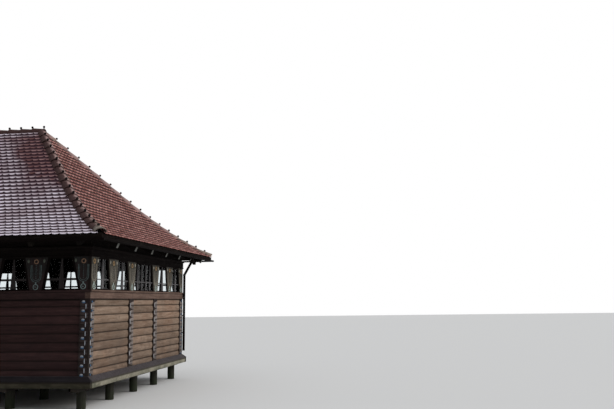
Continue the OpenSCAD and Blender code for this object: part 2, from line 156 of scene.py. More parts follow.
def turned(profile, sides):
    """A profile of (radius, height) turned about z: x = radius * cos(angle), y = radius *
    sin(angle). Its foot is closed flat, and its last row is the one point at the tip."""
    k = np.arange(sides)
    angle = k * 2 * np.pi / sides
    ring = np.stack([np.cos(angle), np.sin(angle)], 1)
    rings = [np.column_stack([ring * r, np.full(sides, h)]) for r, h in profile[:-1]]
    n = len(rings)
    around = np.roll(quads(n, sides, close_cols=True)[:, ::-1], 1, axis=1)
    tip = np.stack([k, (k + 1) % sides, np.full(sides, sides)], 1) + (n - 1) * sides
    return np.concatenate(rings + [[(0, 0, profile[-1][1])]]), [around, tip, k[None, ::-1]]


def half(side):
    return HALF_W if side % 2 == 0 else HALF_D


def eaves(side):
    return EAVE_OUT if side % 2 == 0 else END_OUT


def to_house(side, p):
    """Points in a wall's own frame, turned a quarter for each side and set at that wall."""
    c, s = ((1, 0), (0, 1), (-1, 0), (0, -1))[side]
    y = p[..., 1] - half(side + 1)
    return np.stack([c * p[..., 0] - s * y, s * p[..., 0] + c * y, p[..., 2]], -1)


def on_wall(side, shape):
    return to_house(side, shape[0]), shape[1]


def placed(name, data):
    made = bpy.data.objects.new(name, data)
    bpy.context.scene.collection.objects.link(made)
    return made


def piece(name, shape, material, smooth=False, marks=None, replaces=()):
    """Makes one piece of a shape, turns its faces outwards by the sign of its volume, and
    gives each point its marks, a vector that the material reads."""
    points, faces = shape
    rows = [row for f in faces for row in f.tolist()]
    volume = sum(float(np.einsum("ij,ij->i", points[f[:, 0]],
                                 np.cross(points[f[:, k]], points[f[:, k + 1]])).sum())
                 for f in faces for k in range(1, f.shape[1] - 1))
    if volume < 0:
        rows = [row[::-1] for row in rows]
    mesh = bpy.data.meshes.new(name)
    mesh.from_pydata(points.tolist(), [], rows)
    mesh.polygons.foreach_set("use_smooth", np.full(len(rows), smooth))
    if marks is not None:
        layer = mesh.attributes.new("marks", "FLOAT_VECTOR", "POINT")
        layer.data.foreach_set("vector", np.ascontiguousarray(marks, np.float32).ravel())
    mesh.materials.append(material)
    mesh.update()
    made = placed(name, mesh)
    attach(made, "root")
    if replaces:
        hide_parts(*replaces)


# Nodes for the finishes

class Sheet:
    """Puts nodes into one tree. Each method gives back an output socket."""

    def __init__(self, tree):
        self.tree = tree

    def put(self, kind, inputs=(), out=0, **settings):
        n = self.tree.nodes.new("ShaderNode" + kind)
        for key, value in settings.items():
            setattr(n, key, value)
        for key, value in dict(inputs).items():
            self.feed(n.inputs[key], value)
        return n.outputs[out]

    def feed(self, socket, value):
        if isinstance(value, bpy.types.NodeSocket):
            self.tree.links.new(value, socket)
        elif socket.type == "RGBA" and len(value) == 3:
            socket.default_value = (*value, 1.0)
        else:
            socket.default_value = value

    def maths(self, operation, a, b=0.0, clamp=False):
        return self.put("Math", {0: a, 1: b}, operation=operation, use_clamp=clamp)

    times = partialmethod(maths, "MULTIPLY")
    plus = partialmethod(maths, "ADD")
    minus = partialmethod(maths, "SUBTRACT")
    size = partialmethod(maths, "ABSOLUTE")
    most = partialmethod(maths, "MAXIMUM")

    def to_joint(self, value):
        """How far a value is from the nearest whole number."""
        part = self.maths("FRACT", value)
        return self.maths("MINIMUM", part, self.minus(1.0, part))

    def scaled(self, place, by):
        return self.put("VectorMath", {0: place, 1: by}, operation="MULTIPLY")

    def moved(self, place, by):
        return self.put("VectorMath", {0: place, 1: by}, operation="ADD")

    def split(self, place):
        return list(self.put("SeparateXYZ", {0: place}).node.outputs)

    def off(self, place, axis):
        """How far a place is from the middle of the house along an axis."""
        return self.size(self.split(place)[axis])

    def marks(self):
        return self.split(self.put("Attribute", out="Vector", attribute_name="marks"))

    def noise(self, place, scale, detail=4.0, rough=0.55, bent=0.0):
        return self.put("TexNoise", {"Vector": place, "Scale": scale, "Detail": detail,
                                     "Roughness": rough, "Distortion": bent})

    def spread(self, value, low, high, to_low=0.0, to_high=1.0):
        return self.put("MapRange", {"Value": value, "From Min": low, "From Max": high,
                                     "To Min": to_low, "To Max": to_high})

    def mix(self, amount, a, b, blend="MIX"):
        return self.put("Mix", {0: amount, 6: a, 7: b}, out=2, data_type="RGBA",
                        blend_type=blend)

    def dyed(self, colour, by):
        return self.mix(1.0, colour, by, "MULTIPLY")

    def group(self, tree, out=("Color",), **inputs):
        """A shared group's outputs, or its one output."""
        n = self.tree.nodes.new("ShaderNodeGroup")
        n.node_tree = tree
        for key, value in inputs.items():
            self.feed(n.inputs[key], value)
        outputs = [n.outputs[key] for key in out]
        return outputs if len(out) > 1 else outputs[0]


KINDS = {"Place": "Vector", "Plain": "Vector", "Dark": "Color", "Light": "Color",
         "Color": "Color", "Stain": "Color", "Spot": "Color"}


def effect(name, takes, gives):
    """Makes a shared group of a function from a sheet and input sockets to its outputs.
    Takes and gives name the sockets, which are numbers unless KINDS says otherwise."""
    def make(paint):
        tree = bpy.data.node_groups.new(name, "ShaderNodeTree")
        for way, keys in (("INPUT", takes), ("OUTPUT", gives)):
            for key in keys.split():
                tree.interface.new_socket(name=key, in_out=way,
                                          socket_type="NodeSocket" + KINDS.get(key, "Float"))
        start, end = tree.nodes.new("NodeGroupInput"), tree.nodes.new("NodeGroupOutput")
        s = Sheet(tree)
        shown = paint(s, *[start.outputs[key] for key in takes.split()])
        for key, value in zip(gives.split(), shown):
            s.feed(end.inputs[key], value)
        return tree
    return make


@effect("Wood grain", "Place Plain Dark Light Knots", "Color Height")
def grain(s, place, plain, dark, light, knots):
    """Streaks along the grain, fine checks and a few knots. Place is already drawn out
    along the grain; plain is not."""
    broad = s.noise(place, 1.0, 5.0, 0.62, 0.5)
    fine = s.noise(place, 4.1, 4.0, 0.7)
    tone = s.spread(s.plus(s.times(broad, 0.68), s.times(fine, 0.32)), 0.34, 0.66)
    check = s.size(s.minus(s.noise(place, 1.7, 2.0, 0.5), 0.5))
    check = s.times(s.spread(check, 0.0, 0.014, 1.0, 0.0),
                    s.spread(s.noise(plain, 1.3, 2.0), 0.48, 0.6))
    spot = s.put("TexVoronoi", {"Vector": plain, "Scale": 3.4}, out="Distance")
    knot = s.times(s.spread(spot, 0.05, 0.14, 1.0, 0.0), knots)
    colour = s.mix(tone, dark, light)
    worn = s.most(s.times(check, 0.75), s.times(knot, 0.7))
    return (s.mix(worn, colour, s.mix(0.75, colour, (0.012, 0.008, 0.006))),
            s.minus(tone, s.times(check, 1.5)))


@effect("Log courses", "Place", "Place Tone Joint")
def courses(s, place):
    """Each log of a wall gets its own tone and its own stretch of grain, and dirt lies in
    the joints. Just under the rail the logs are darkened as painted shadow of the rail,
    and that shadow is given out together with the joints. A log's number is
    floor((z - top joint) / gauge), and a joint lies at each whole number."""
    x, y, z = s.split(place)
    row = s.maths("DIVIDE", s.minus(z, TOP_JOINT), LOG_GAUGE)
    bay = s.maths("GREATER_THAN", s.size(x), POST_IN)
    for axis, post, weight in ((x, POST_OUT, 2.0), (x, 0.0, 4.0), (y, POST_END, 8.0),
                               (y, -POST_END, 16.0)):
        bay = s.plus(bay, s.times(s.maths("GREATER_THAN", axis, post), weight))
    seed = s.put("CombineXYZ", {0: s.maths("FLOOR", row), 1: bay, 2: 3.0})
    chance = s.put("TexWhiteNoise", {"Vector": seed}, out="Color", noise_dimensions="3D")
    ragged = s.times(s.noise(s.scaled(place, (3.0, 3.0, 9.0)), 1.0), 0.1)
    joint = s.spread(s.to_joint(row), 0.02, s.plus(ragged, 0.075), 1.0, 0.0)
    # painted shadow: the logs darken just under the rail, where its shade falls
    rail_shadow = s.spread(z, RAIL_Z0 - 0.052, RAIL_Z0 - 0.03)
    return (s.moved(place, s.scaled(chance, (5.0, 5.0, 0.6))),
            s.put("SeparateColor", {0: chance}), s.most(joint, rail_shadow))


@effect("Weather", "Place Color Stain Amount Scale Low High", "Color")
def weather(s, place, colour, stain, amount, scale, low, high):
    """Blotches of a second colour, more of them towards low and fewer towards high."""
    blotch = s.noise(place, scale, 5.0, 0.62)
    rise = s.spread(s.split(place)[2], low, high, 0.16, -0.06)
    mask = s.times(s.spread(s.plus(blotch, rise), 0.46, 0.7), amount)
    return [s.mix(mask, colour, stain)]


@effect("Lichen", "Place Color Spot Amount Scale", "Color")
def lichen(s, place, colour, spot, amount, scale):
    """Small pale spots scattered by a cell pattern, thinned by a broad noise."""
    swirl = s.put("TexNoise", {"Vector": place, "Scale": 24.0}, out="Color")
    bent = s.moved(place, s.scaled(swirl, (0.03, 0.03, 0.03)))
    cell = s.put("TexVoronoi", {"Vector": bent, "Scale": scale}, out="Distance")
    spots = s.times(s.spread(cell, 0.22, 0.36, 1.0, 0.0),
                    s.spread(s.noise(place, 2.3, 3.0), 0.47, 0.6))
    return [s.mix(s.times(spots, amount), colour, spot)]


def material(name, paint, roughness=0.75, bump=0.3, depth=0.004, **fixed):
    """A material whose paint(sheet, place) gives a colour, a roughness or None, and a
    height or None. The numbers in fixed go straight onto the shader's sockets."""
    m = bpy.data.materials.new(name)
    m.use_nodes = True
    shader = m.node_tree.nodes["Principled BSDF"]
    s = Sheet(m.node_tree)
    colour, rough, height = paint(s, s.put("TexCoord", out="Object"))
    s.feed(shader.inputs["Base Color"], colour)
    shader.inputs["Roughness"].default_value = roughness
    shader.inputs["Specular IOR Level"].default_value = 0.1
    if rough is not None:
        s.feed(shader.inputs["Roughness"], rough)
    if height is not None:
        s.feed(shader.inputs["Normal"], s.put("Bump", {"Strength": bump, "Distance": depth,
                                                       "Height": height}))
    for key, value in fixed.items():
        shader.inputs[key.replace("_", " ")].default_value = value
    return m


def shares(*colours):
    """Colours that are written in thousandths, as shares of full strength."""
    return [tuple(part / 1000 for part in colour) for colour in colours]


def timber(name, run, dark, light, stain=(30, 25, 20), amount=0.45, knots=0.5, across=26.0,
           along=1.6, logs=False, span=(0.6, 2.0), planks=None, ends=None, tint=None,
           painted_long_shade=None, lines=(), flecks=None, gloss=0.1):
    """Sawn or hewn timber whose grain runs along axis run; dark, light and stain are in
    thousandths. planks = (axis, width) adds lines between boards, and ends = (axis, place,
    colour) shows end grain past a place. Tint multiplies the colour in blotches, and
    painted_long_shade multiplies it on the long sides as painted shade. lines = (axis,
    place, half width) are dark lines at both signs of a place: joints, and on the rails the
    painted shadow under the sill moulding. flecks is the colour of small spots."""
    dark, light, stain = shares(dark, light, stain)

    def paint(s, place):
        at, tone, joint, line = place, None, None, None
        if logs:
            at, tone, joint = s.group(courses, ("Place", "Tone", "Joint"), Place=place)
        if planks:
            axis, width = planks
            part = s.maths("DIVIDE", s.split(place)[axis], width)
            tone = s.put("TexWhiteNoise", {"W": s.maths("FLOOR", part)}, noise_dimensions="1D")
            shift = tuple(3.0 * (k != axis) for k in range(3))
            at = s.moved(place, s.put("VectorMath", {0: shift, "Scale": tone},
                                      operation="SCALE"))
            line = s.spread(s.to_joint(part), PLANK_GAP / width * 0.5, PLANK_GAP / width * 1.3,
                            1.0, 0.0)
        stretch = [across] * 3
        stretch[run] = along
        colour, height = s.group(grain, ("Color", "Height"), Place=s.scaled(at, tuple(stretch)),
                                 Plain=at, Dark=dark, Light=light, Knots=knots)
        if tone is not None:
            colour = s.dyed(colour, s.mix(s.spread(tone, 0.0, 1.0), (0.74, 0.72, 0.7),
                                          (1.18, 1.17, 1.15)))
        if tint is not None:
            colour = s.mix(s.spread(s.noise(place, 1.1, 3.0), 0.42, 0.62, 0.0, 0.6), colour,
                           s.dyed(colour, tint))
        colour = s.group(weather, Place=s.scaled(place, (1.0, 1.0, 1.6)), Color=colour,
                         Stain=stain, Amount=amount, Scale=2.4, Low=span[0] * 1.6,
                         High=span[1] * 1.6)
        # painted shade: the long sides get a darker colour, as they stand in shade
        if painted_long_shade is not None:
            long_side = s.spread(s.off(place, 1), HALF_D, HALF_D + 0.01)
            colour = s.mix(long_side, colour, s.dyed(colour, painted_long_shade))
        if flecks is not None:
            colour = s.group(lichen, Place=place, Color=colour, Spot=flecks, Amount=0.8,
                             Scale=38.0)
        # dark lines: joints, and on the rails the painted shadow under the sill moulding
        gaps = [s.spread(s.size(s.minus(s.off(place, axis), middle)), half_width * 0.6,
                         half_width * 1.3, 1.0, 0.0) for axis, middle, half_width in lines]
        # joint holds the logs' dark joints together with the painted shadow under the rail
        for mask in (joint, line, *gaps):
            if mask is not None:
                colour = s.mix(s.times(mask, 0.82), colour, (0.01, 0.007, 0.006))
                height = s.minus(height, s.times(mask, 2.0))
        if ends:
            axis, past, grain_colour = ends
            beyond = s.spread(s.off(place, axis), past, past + 0.001)
            rings = s.put("TexWave", {"Vector": place, "Scale": 9.0, "Distortion": 3.0},
                          wave_type="RINGS", rings_direction="SPHERICAL")
            colour = s.mix(beyond, colour, s.mix(s.spread(rings, 0.0, 1.0, 0.0, 0.5),
                                                 grain_colour, (0.024, 0.013, 0.011)))
        return colour, s.spread(height, 0.0, 1.0, 0.86, 0.72), height
    return material(name, paint, 0.78, 0.45, 0.004, Specular_IOR_Level=gloss)


def painted(name, colour, worn, wear=0.5, scale=14.0, roughness=0.62, **fixed):
    """Old paint or coated metal: a mottled colour with worn spots, both in thousandths."""
    colour, worn = shares(colour, worn)

    def paint(s, place):
        mottle = s.noise(place, scale, 4.0, 0.6)
        body = s.mix(s.spread(mottle, 0.3, 0.7), tuple(c * 0.82 for c in colour),
                     tuple(min(1.0, c * 1.15) for c in colour))
        chips = s.times(s.spread(s.noise(place, scale * 2.6, 3.0, 0.6), 0.56, 0.64), wear)
        rough = s.spread(mottle, 0.0, 1.0, roughness - 0.08, roughness + 0.12)
        return s.mix(chips, body, worn), rough, s.minus(mottle, chips)
    return material(name, paint, roughness, 0.25, 0.002, **fixed)


def clay(name, dark, light, soot_and_shade, frost=None, edges=0.75):
    """Fired clay tiles, with colours in thousandths. Marks are (across from -1 to 1, way up
    from the tail in courses, chance). Dark soot, partly dirt and partly painted shade, lies
    along the edges and under the tile above, where the gaps and laps are in shade.
    Frost = (colour, full height, amount) grows towards the eaves, thins towards a hip, more
    so higher up, and lies again just under the ridge. The margin is how far a place is from
    the nearest hip along x."""
    dark, light, soot_and_shade = shares(dark, light, soot_and_shade)

    def paint(s, place):
        across, lap, tone = s.marks()
        mottle = s.noise(place, 9.0, 5.0, 0.65)
        body = s.mix(tone, dark, light)
        body = s.mix(s.spread(mottle, 0.38, 0.72, 0.0, 0.55), body,
                     s.dyed(body, (0.55, 0.5, 0.5)))
        edge = s.spread(s.size(across), 0.78, 1.0, 0.0, edges)
        # grime_and_shade: soot along the edges and under the tile above, partly dirt and partly painted
        # shade
        grime_and_shade = s.times(s.most(edge, s.spread(lap, 0.32, 0.52)),
                        s.spread(mottle, 0.2, 0.6, 0.9, 1.0))
        if frost:
            colour, rise, amount = frost
            x, y, z = s.split(place)
            hip_x = s.spread(y, -HALF_D - EAVE_OUT, 0.0, HALF_W + END_OUT, RIDGE_HALF)
            margin = s.minus(hip_x, s.size(x))
            bare = s.times(s.spread(margin, 0.1, 1.2, 0.42, 0.0),
                           s.spread(z, EAVE_Z + 0.2, 6.0))
            cover = s.plus(s.noise(place, 0.9, 5.0, 0.6), s.spread(z, EAVE_Z, rise, 0.22, -0.16))
            cover = s.plus(s.minus(cover, bare), s.spread(z, *RIDGE_FROST, 0.0, 0.35))
            cover = s.plus(cover, s.times(s.minus(tone, 0.5), 0.07))
            cover = s.spread(cover, 0.26, 0.66, 0.0, amount)
            cover = s.times(cover, s.spread(s.noise(place, 46.0, 3.0, 0.7), 0.25, 0.55, 0.6, 1.0))
            cover = s.times(cover, s.minus(1.0, s.times(edge, 0.5)))
            body = s.mix(cover, body, *shares(colour))
        shown = s.mix(grime_and_shade, body, soot_and_shade)
        if not frost:
            shown = s.group(lichen, Place=place, Color=shown, Spot=(0.36, 0.3, 0.2),
                            Amount=0.2, Scale=13.0)
        return shown, s.spread(mottle, 0.2, 0.8, 0.88, 0.72), s.minus(mottle, grime_and_shade)
    return material(name, paint, 0.8, 0.35, 0.004)


def cap_clay(name, *colours):
    """Old ridge clay. Its colours, in thousandths, are dark, light, the shaded flank's, a pale
    cap's and the damp's. Marks are (across from -1 on the long slope's flank to 1, way up
    the cap, chance). The first flank is darkened as painted shade, being turned from the
    light, and the upper part of a cap is darkened by dirt and painted shade under the next
    cap's lap; a chance above 1 makes a pale cap. Damp greens the caps near the eaves."""
    dark, light, flank, pale, green = shares(*colours)

    def paint(s, place):
        across, way, tone = s.marks()
        mottle = s.noise(place, 7.0, 5.0, 0.65)
        body = s.mix(s.times(tone, 0.6, clamp=True), s.mix(mottle, dark, light), light)
        body = s.group(weather, Place=place, Color=body, Stain=green, Amount=0.7, Scale=3.0,
                       Low=EAVE_Z, High=EAVE_Z + 1.1)
        bent = s.plus(across, s.spread(s.noise(place, 11.0), 0.3, 0.7, -0.35, 0.35))
        # painted shade on the long slope's flank, with dirt and painted shade under the next cap's lap
        soot_and_shade = s.most(s.spread(bent, -0.25, 0.2, 1.0, 0.0), s.spread(way, 0.35, 0.9, 0.0, 0.8))
        body = s.mix(soot_and_shade, body, flank)
        body = s.mix(s.spread(tone, 1.0, 1.5, 0.0, 0.9), body,
                     s.mix(s.spread(mottle, 0.35, 0.65), flank, pale))
        return body, None, mottle
    return material(name, paint, 0.82, 0.4, 0.005)


def glass_paint(s, place):
    """Old panes: clear, with a faint haze of dust that changes over the surface."""
    haze = s.noise(place, 3.0, 3.0)
    return (s.mix(haze, (0.82, 0.86, 0.87), (0.9, 0.93, 0.94)),
            s.spread(haze, 0.4, 0.8, 0.0, 0.1), None)


# Finishes

RAIL_SPAN = (2.3, 2.8)
# Painted shade: the headers, their mouldings and the wall plates are near black, as they stand in the
# shadow of the eaves.
HEADER_LOOK = {"span": (3.2, 3.6), "gloss": 0.02}
BOARD_LOOK = {"knots": 0.2, "across": 34.0, "span": (2.5, 3.3)}
# the roof boarding is near black as painted shade of the soffit
BOARDING_LOOK = {"knots": 0.2, "gloss": 0.02}
BLUE = painted("Blue paint", (45, 100, 180), (35, 35, 45), 0.3)
# The long walls' finishes are darker than the end walls' partly for a darker stain and partly as
# painted shade, as those walls stand in shade; their paints are dimmed copies of the end walls' paints.
LONG = {
    "logs": timber("Long wall logs", 0, (22, 10, 11), (50, 25, 24), (14, 9, 10), 0.4, 0.4, logs=True),
    "rail": timber("Long wall rail", 0, (20, 10, 10), (48, 25, 24), (12, 8, 8), 0.4,
                   span=RAIL_SPAN, lines=((2, SILL_SHADOW_Z, 0.006),)),
    "header": timber("Long wall header", 0, (4, 3, 3), (12, 9, 8), (4, 3, 3), 0.4, **HEADER_LOOK),
    "posts": timber("Long wall posts", 2, (9, 6, 6), (22, 15, 14), knots=0.2),
    "heads": timber("Long wall log heads", 0, (22, 15, 15), (58, 44, 42), (12, 10, 10), 0.4, logs=True),
    "boards": timber("Long wall boards", 2, (10, 9, 9), (26, 24, 23), (30, 11, 11), 0.5, **BOARD_LOOK,
                     flecks=(0.055, 0.065, 0.065), lines=((0, HALF_W - 0.028, 0.042),)),
    "bars": timber("Long wall window bars", 2, (12, 10, 10), (34, 30, 30), knots=0.0, amount=0.2),
    "pale": painted("Pale paint, long walls", (300, 320, 360), (90, 90, 100), 0.4),
    "line": painted("Dim line paint", (85, 115, 115), (30, 35, 35), 0.5),
    "drop": painted("Olive paint", (95, 105, 85), (40, 42, 36), 0.3),
    "ochre": painted("Dim ochre paint", (240, 145, 95), (80, 50, 40), 0.35),
    "white": painted("Dim greenish paint", (170, 220, 220), (60, 70, 70), 0.4),
    "blue": BLUE}
END = {
    "logs": timber("End wall logs", 1, (132, 86, 60), (282, 210, 160), (97, 68, 53), 0.5, 0.9,
                   across=22.0, logs=True, tint=(1.02, 0.9, 0.84)),
    "rail": timber("End wall rail", 1, (90, 53, 41), (190, 126, 99), (72, 44, 35), 0.5,
                   span=RAIL_SPAN, ends=(1, HALF_D + PROUD - 0.0005, (0.012, 0.006, 0.006)),
                   lines=((2, SILL_SHADOW_Z, 0.006), (1, POST_END, 0.006))),
    "header": timber("End wall header", 1, (5, 4, 4), (15, 11, 10), (6, 4, 4), 0.6, **HEADER_LOOK),
    "posts": timber("End wall posts", 2, (12, 8, 8), (34, 24, 20), knots=0.2),
    "heads": timber("End wall log heads", 1, (105, 86, 78), (245, 212, 200), (70, 56, 52), 0.5,
                    logs=True),
    "boards": timber("End wall boards", 2, (42, 38, 31), (100, 92, 77), (36, 27, 22), 0.45,
                     **BOARD_LOOK, flecks=(0.34, 0.32, 0.27)),
    "bars": timber("End wall window bars", 2, (65, 61, 63), (150, 143, 148), knots=0.0, amount=0.25),
    "pale": painted("Pale paint", (360, 360, 380), (130, 120, 120), 0.35),
    "line": painted("Beige paint", (280, 250, 200), (110, 100, 80), 0.4),
    "drop": painted("Cream paint", (460, 430, 350), (150, 140, 110), 0.35),
    "ochre": painted("Ochre paint", (460, 290, 140), (130, 90, 60), 0.3),
    "white": painted("Greenish white paint", (420, 500, 460), (130, 150, 140), 0.4),
    "blue": BLUE}
TAILS = painted("Pale rafter tails", (120, 120, 110), (60, 55, 50), 0.4)
RED_TILES = clay("Clay tiles", (270, 105, 90), (520, 255, 228), (22, 6, 6))
FROST_TILES = clay("Frosted clay tiles", (165, 78, 78), (300, 172, 176), (22, 6, 12),
                   frost=((900, 830, 950), 7.0, 0.95), edges=0.2)
CAPS = cap_clay("Cap clay", (170, 100, 95), (370, 250, 240), (50, 26, 25), (360, 330, 280),
                (190, 160, 125))
KNOBS = painted("Knob clay", (10, 7, 8), (30, 22, 20), 0.4, 20.0, 0.8)
GLASS = material("Window glass", glass_paint, 0.03, Transmission_Weight=1.0, IOR=1.06,
                 Specular_IOR_Level=0.5)

for names, look in (
        ("piles_front piles_inner piles_back",
         timber("Piles", 2, (12, 12, 9), (40, 38, 30), (20, 26, 14), 0.8, 0.3, 30.0, 3.0,
                span=(0.0, 0.4))),
        ("floor_beams", timber("Floor beams", 1, (12, 10, 8), (36, 30, 25), amount=0.6)),
        ("floor_boards", timber("Floor planks", 0, (110, 88, 68), (250, 210, 170), amount=0.3,
                                planks=(1, 0.16))),
        # The floor edge and the skirt boards take painted shade on the long sides.
        ("edge_boards",
         timber("Floor edge", 0, (150, 136, 100), (310, 290, 230), (70, 74, 50), 0.75, 0.3, 20.0,
                3.0, span=(0.4, 0.62), painted_long_shade=(0.2, 0.19, 0.17),
                lines=((2, FLOOR_Z - 0.006, 0.032),))),
        ("skirt_boards",
         timber("Skirt boards", 0, (34, 28, 31), (78, 68, 72), (30, 26, 26), 0.4, 0.2, 20.0, 3.0,
                painted_long_shade=(0.25, 0.25, 0.28))),
        ("corner_posts front_posts back_posts", LONG["posts"]), ("end_posts", END["posts"]),
        ("wall_plates", LONG["header"]), ("door_frame", LONG["rail"]),
        ("back_doors", timber("Doors", 2, (30, 15, 13), (70, 40, 34), planks=(0, 0.13))),
        ("front_glass back_glass end_glass", GLASS),
        # Painted shade: the rafters and the roof boarding are near black, for the soffit stands in
        # shade.
        ("rafters_front rafters_back rafters_end hip_rafters ridge_beam",
         timber("Rafters", 2, (4, 3, 3), (11, 9, 8), knots=0.2, gloss=0.02)),
        ("roof_front roof_back",
         timber("Roof boarding", 0, (4, 3, 3), (11, 8, 7), planks=(1, 0.14), **BOARDING_LOOK)),
        ("roof_right roof_left",
         timber("Roof boarding, ends", 1, (4, 3, 3), (11, 8, 7), planks=(0, 0.14), **BOARDING_LOOK)),
        # The gutters and downpipes are black paint, darkened further as painted shade.
        ("gutters downpipes",
         painted("Gutter paint", (4, 2.5, 2.4), (10, 7, 6), 0.4, Specular_IOR_Level=0.02)),
        *((f"{wall}_{part}", (END if side % 2 else LONG)[part])
          for side, wall in enumerate(SIDES) for part in ("logs", "rail", "header", "boards"))):
    for name in names.split():
        NODES[name].data.materials.clear()
        NODES[name].data.materials.append(look)


# Roof tiles

def roof_height(t):
    """Height of the roof at a share t of the run from the eaves: a parabola over the flare,
    from the eaves' slope to the main slope, and then a straight line."""
    curve = EAVE_RISE * t + (MAIN_RISE - EAVE_RISE) * t * t / (2 * FLARE)
    line = (EAVE_RISE - MAIN_RISE) * FLARE / 2 + MAIN_RISE * t
    return EAVE_Z + np.where(t < FLARE, curve, line)


class Slope:
    """One side of the roof. A point is given by x along the eaves, a up the surface from
    the eaves, and h out from the surface."""

    def __init__(self, side):
        self.side = side
        self.run, self.top = ((RUN_LONG, RIDGE_HALF) if side % 2 == 0 else (RUN_END, 0.0))
        self.foot, self.out = half(side) + eaves(side + 1), eaves(side)
        self.s = np.linspace(-0.15, self.run, 700)
        self.z = roof_height(self.s / self.run)
        arc = np.append(0, np.cumsum(np.hypot(np.diff(self.s), np.diff(self.z))))
        self.arc = arc - np.interp(0.0, self.s, arc)
        self.grade = np.gradient(self.z, self.s)

    def reach(self, a):
        """Half the width of this side at a, from hip to hip."""
        s = np.interp(a, self.arc, self.s)
        return self.foot - (self.foot - self.top) * s / self.run

    def at(self, x, a, h):
        """The surface at (s(a), z(s)), then h along its normal (-grade, 1) of unit length."""
        s, z, g = (np.interp(a, self.arc, v) for v in (self.s, self.z, self.grade))
        n = 1 / np.hypot(1, g)
        return to_house(self.side, np.stack([x, s - self.out - h * g * n, z + h * n], -1))


TILE_PITCH, TILE_HALF, TILE_GAUGE = 0.172, 0.0835, 0.16
TILE_ARC, TILE_LENGTH, TILE_OVER = 0.092, 0.235, 0.035
HIP_GAP, EAVE_TRIM, TRIM_RISE = 0.015, 0.085, 0.25


def tile_rows(side, seed):
    """Beaver-tail tiles. A tile is four rows of seven points: tail bottom, tail top, head
    top and head bottom. Its tail is an arc: a = R - sqrt(R^2 - x^2). Odd courses are moved
    half a tile. Tiles are squeezed in HIP_GAP short of a hip, and more near the eaves."""
    slope = Slope(side)
    draw = np.random.default_rng(seed)
    length = slope.arc[-1]
    count = round(length / TILE_GAUGE)
    gauge = length / count
    u = np.linspace(-1, 1, 7)
    tail = TILE_ARC - np.sqrt(TILE_ARC ** 2 - (u * TILE_HALF) ** 2)
    cols = int(slope.foot / TILE_PITCH) + 2
    k, i = (v.ravel() for v in np.meshgrid(np.arange(count), np.arange(-cols, cols + 1),
                                           indexing="ij"))
    centre = (i + 0.5 * (k % 2)) * TILE_PITCH
    start = k * gauge - TILE_OVER
    keep = np.abs(centre) - TILE_HALF < slope.reach(start + 0.05) - 0.04
    centre, start = centre[keep], start[keep]
    size = (len(centre), 1, 1)
    centre = centre[:, None, None] + draw.normal(0, 0.0014, size)
    slip, lift, twist, tone = (draw.normal(0, 0.0022, size), draw.uniform(0, 0.005, size),
                               draw.normal(0, 0.0014, size), draw.random(size))
    head = np.full(7, TILE_LENGTH)
    up = np.array([tail, tail, head, head])
    a = np.minimum(start[:, None, None] + up + slip, length - 0.004)
    lim = slope.reach(a) - HIP_GAP - EAVE_TRIM * np.clip(1 - a / TRIM_RISE, 0, 1)
    low, high = (centre + d * TILE_HALF for d in (-1, 1))
    low = np.minimum(np.maximum(low, -lim), lim - 0.01)
    high = np.maximum(np.minimum(high, lim), -lim + 0.01)
    x = low + (high - low) * (u + 1) / 2
    base = np.array([0.019, 0.033, 0.014, 0.001])[:, None]
    rise = np.array([1.0, 1.0, 0.1, 0.0])[:, None]
    h = base + rise * (lift + twist * u)
    points = slope.at(x, a, np.broadcast_to(h, x.shape)).reshape(-1, 3)
    one = [quads(4, 7, close_rows=True), np.array([[0, 7, 14, 21], [27, 20, 13, 6]])]
    marks = np.stack(np.broadcast_arrays(u, up / gauge, tone), -1)
    return (points, repeated(one, len(centre), 28)), marks.reshape(-1, 3)


for side, name in enumerate(SIDES):
    shape, marks = tile_rows(side, 11 + side)
    look, slot = (RED_TILES, "tiles") if side else (FROST_TILES, "frosted_tiles")
    piece(f"tiles_{name}", shape, look, marks=marks)


# Hip and ridge caps

HIP_COUNT, RIDGE_COUNT = 17, 13
CAP_HALF, CAP_SHELL, CAP_TOP, CAP_EDGE, CAP_LAP = 0.128, 0.015, 0.055, 0.026, 1.12
KNOB_SHARE, KNOB_R = 0.88, 0.032
KNOB = turned([(0.016, -0.03), (0.015, 0.026), (0.025, 0.032), (0.0315, 0.046),
               (0.0315, 0.058), (0.025, 0.0715), (0.013, 0.081), (0.0, 0.0835)], 8)


def upright(across, along):
    """The unit direction of along, and the upward one square to it and to across."""
    ahead = along / np.linalg.norm(along, axis=1, keepdims=True)
    up = np.cross(np.broadcast_to(across, ahead.shape), ahead)
    return ahead, up * np.sign(up[:, 2:3])


